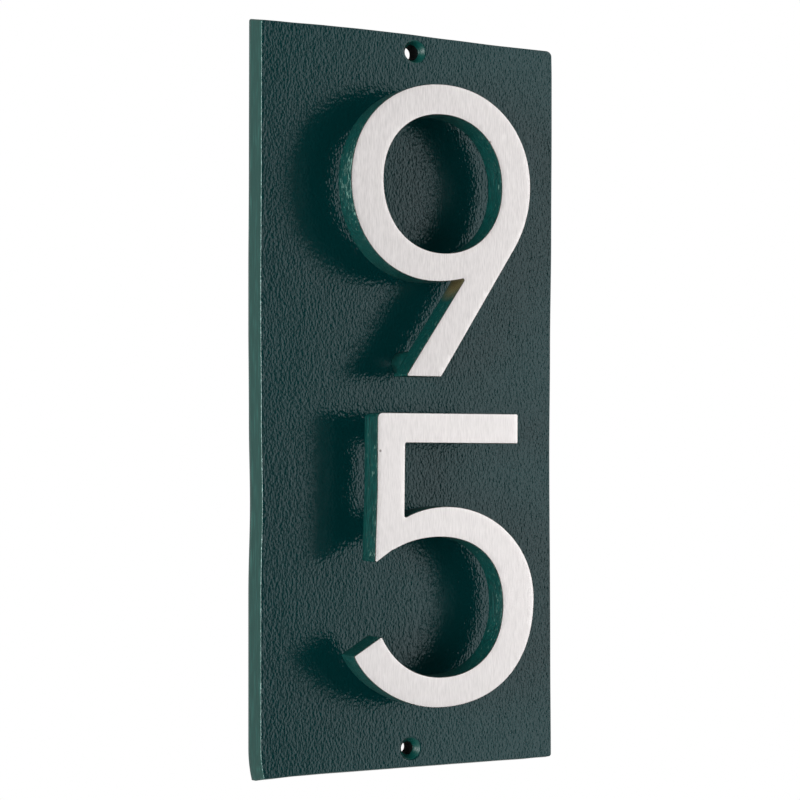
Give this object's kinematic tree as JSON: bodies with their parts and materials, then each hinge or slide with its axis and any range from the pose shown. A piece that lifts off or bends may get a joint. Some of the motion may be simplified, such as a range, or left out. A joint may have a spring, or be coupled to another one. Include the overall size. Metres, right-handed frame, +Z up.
{
  "type": "wall plaque",
  "caption": "Tall cast metal plaque for a wall beside a door, with plain numerals standing off its front on round posts and countersunk wall screw holes.",
  "frame": {"origin": "centre of the backing plate's flat back, on the wall", "axes": "X across the plaque, +Z up along its height, +Y into the wall, so the front and the numerals face -Y"},
  "size_m": [0.1184, 0.029, 0.2574],
  "materials": {
    "green_powder_coat": "dark green gloss powder coat over a pebbled sand casting",
    "linished_numeral": "faces linished bare with a fine upright grain, sides and posts green powder coated",
    "screw_steel": "plain zinc plated"
  },
  "bodies": {
    "root": {"backing_plate": "green_powder_coat", "numeral_nine": "linished_numeral", "numeral_five": "linished_numeral", "numeral_screws": "screw_steel"}
  },
  "joints": []
}
